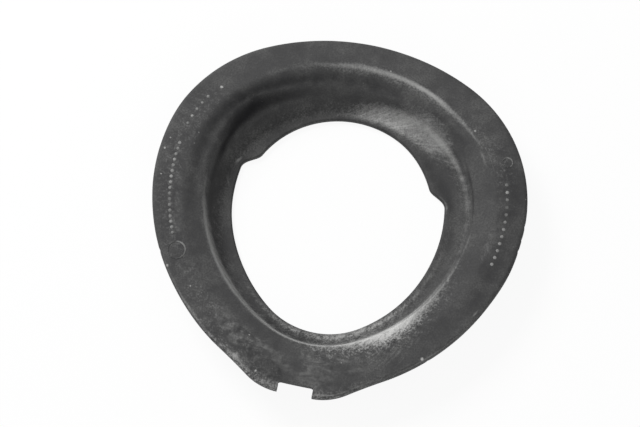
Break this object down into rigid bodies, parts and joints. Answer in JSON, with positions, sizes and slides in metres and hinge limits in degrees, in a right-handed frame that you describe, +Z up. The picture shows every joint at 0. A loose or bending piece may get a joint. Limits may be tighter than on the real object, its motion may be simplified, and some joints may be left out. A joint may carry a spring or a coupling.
{
  "type": "coil spring insulator",
  "caption": "Moulded rubber pad with a wide three-lobed flange for the end turn of a coil spring and a collar and ledge round a hole for a strut.",
  "frame": {"origin": "middle of the pad's box, on the plane that the underside of the inner ledge rests on", "axes": "+Z up along the strut's axis, from the ledge to the flange that carries the spring; the notch in the rim faces -Y"},
  "size_m": [0.1666, 0.1662, 0.021],
  "materials": {
    "rubber": "matt, with dust and scuffs"
  },
  "bodies": {
    "root": {"spring_pad": "rubber"}
  },
  "joints": []
}
